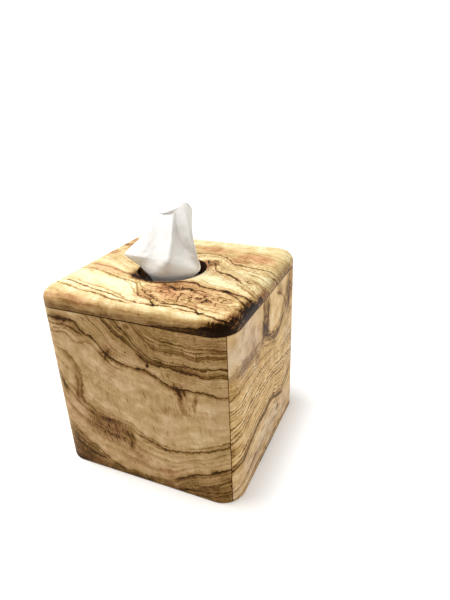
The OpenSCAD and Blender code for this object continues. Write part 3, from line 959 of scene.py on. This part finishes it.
def plain_sheet(name, colour, grain, depth):
    """A matt material with a fine grain: grain is the size of its lumps, in metres."""
    material, tree, shader = new_material(name)
    coordinates = tree.nodes.new("ShaderNodeTexCoord")
    lumps = noise(tree, coordinates.outputs["Object"], grain, detail=3.0)
    darker = tuple(0.86 * part for part in colour[:3]) + (1.0,)
    tree.links.new(blended(tree, lumps + 0.5, darker, colour), shader.inputs["Base Color"])
    shader.inputs["Roughness"].default_value = 0.85
    shader.inputs["Specular IOR Level"].default_value = 0.2
    add_bump(tree, shader, lumps, depth)
    return material


dress("refill_carton", plain_sheet(
    "carton_board", srgb(206, 198, 184), (0.004, 0.0008, 0.0008), 0.00005))
dress("tissue_stack", plain_sheet(
    "folded_paper", srgb(244, 243, 240), (0.03, 0.0003, 0.004), 0.0002))


# Stage, light and camera


def add_floor():
    """White, and lit: near the box it takes shadows, and further off it only shines white.
    The shine, a little stronger than plain white, is seen by camera, glossy and
    transmission rays only."""
    size = 3.0
    dim = (0.6, 0.6, 0.6, 1.0)
    warm_white = (0.98, 0.93, 0.86, 1.0)
    shadow_from = -5.0
    shadow_to = 45.0
    least_glow = 0.2
    glow_strength = 1.28
    mesh = bpy.data.meshes.new("floor")
    corners = [(-size, -size, 0), (size, -size, 0), (size, size, 0), (-size, size, 0)]
    mesh.from_pydata(corners, [], [(0, 1, 2, 3)])
    floor = bpy.data.objects.new("floor", mesh)
    bpy.context.scene.collection.objects.link(floor)
    material, tree, shader = new_material("floor_white")
    path = tree.nodes.new("ShaderNodeLightPath")
    seen = arithmetic(tree, "MAXIMUM", Field(tree, path.outputs["Is Camera Ray"]),
                      Field(tree, path.outputs["Is Glossy Ray"]))
    seen = arithmetic(tree, "MAXIMUM", seen, Field(tree, path.outputs["Is Transmission Ray"]))
    lit = blended(tree, seen, dim, warm_white)
    tree.links.new(lit, shader.inputs["Base Color"])
    shader.inputs["Roughness"].default_value = 1.0
    shader.inputs["Specular IOR Level"].default_value = 0.0
    coordinates = tree.nodes.new("ShaderNodeTexCoord")
    axes = tree.nodes.new("ShaderNodeSeparateXYZ")
    tree.links.new(coordinates.outputs["Object"], axes.inputs[0])
    x, y, _ = (abs(Field(tree, socket) * (1 / MM)) for socket in axes.outputs)
    beyond = [arithmetic(tree, "MAXIMUM", axis - (half - CORNER_R), 0.0)
              for axis, half in ((x, HALF_W), (y, HALF_D))]
    distance = arithmetic(tree, "SQRT", beyond[0] * beyond[0] + beyond[1] * beyond[1])
    far = ease(distance - CORNER_R, shadow_from, shadow_to)
    glow = tree.nodes.new("ShaderNodeEmission")
    glow.inputs["Strength"].default_value = glow_strength
    mixed = tree.nodes.new("ShaderNodeMixShader")
    feed(tree, mixed.inputs[0], seen * (far * (1.0 - least_glow) + least_glow))
    tree.links.new(shader.outputs[0], mixed.inputs[1])
    tree.links.new(glow.outputs[0], mixed.inputs[2])
    tree.links.new(mixed.outputs[0], tree.nodes["Material Output"].inputs["Surface"])
    mesh.materials.append(material)


def add_world(ambient):
    """White where a camera or transmission ray meets it, and ambient light elsewhere, also
    for glossy rays."""
    world = bpy.data.worlds.new("world")
    bpy.context.scene.world = world
    world.use_nodes = True
    tree = world.node_tree
    background = tree.nodes["Background"]
    background.inputs["Color"].default_value = (1.0, 1.0, 1.0, 1.0)
    path = tree.nodes.new("ShaderNodeLightPath")
    seen = arithmetic(tree, "MAXIMUM", Field(tree, path.outputs["Is Camera Ray"]),
                      Field(tree, path.outputs["Is Transmission Ray"]))
    feed(tree, background.inputs["Strength"], seen * (1.0 - ambient) + ambient)


def add_lamp(name, place, target, size, power):
    """A square lamp that faces the target."""
    light = bpy.data.lights.new(name, "AREA")
    light.size = size
    light.energy = power
    lamp = bpy.data.objects.new(name, light)
    bpy.context.scene.collection.objects.link(lamp)
    lamp.location = place
    lamp.rotation_euler = (Vector(place) - Vector(target)).to_track_quat("Z", "Y").to_euler()


def add_camera():
    """The photograph's view, from a fit to the cover's edges."""
    azimuth = math.radians(24.4)
    elevation = math.radians(25.1)
    roll = math.radians(-2.2)
    distance = 0.3347
    target = Vector((0.03695, 0.0, 0.11718))
    focal_share = 482.8 / 600
    back = Vector((math.sin(azimuth) * math.cos(elevation),
                   -math.cos(azimuth) * math.cos(elevation), math.sin(elevation)))
    level = (-back).cross(Vector((0, 0, 1))).normalized()
    upright = level.cross(-back)
    right = level * math.cos(roll) + upright * math.sin(roll)
    up = upright * math.cos(roll) - level * math.sin(roll)
    lens = bpy.data.cameras.new("camera")
    lens.sensor_width = 36.0
    lens.lens = lens.sensor_width * focal_share
    lens.clip_start = 0.01
    camera = bpy.data.objects.new("camera", lens)
    bpy.context.scene.collection.objects.link(camera)
    turn = Matrix((right, up, back)).transposed().to_4x4()
    camera.matrix_world = Matrix.Translation(target + back * distance) @ turn
    bpy.context.scene.camera = camera


bpy.context.scene.view_settings.view_transform = "Standard"
add_floor()
add_world(0.54)
add_lamp("key", (-0.2, -0.1, 1.0), (0, 0, 0.08), 0.3, 7.0)
add_lamp("side", (-0.8, 0.05, 0.5), (0, 0, 0.12), 0.4, 4.5)
add_lamp("fill", (0.9, 0.2, 0.3), (0, 0, 0.07), 0.5, 1.6)
add_camera()
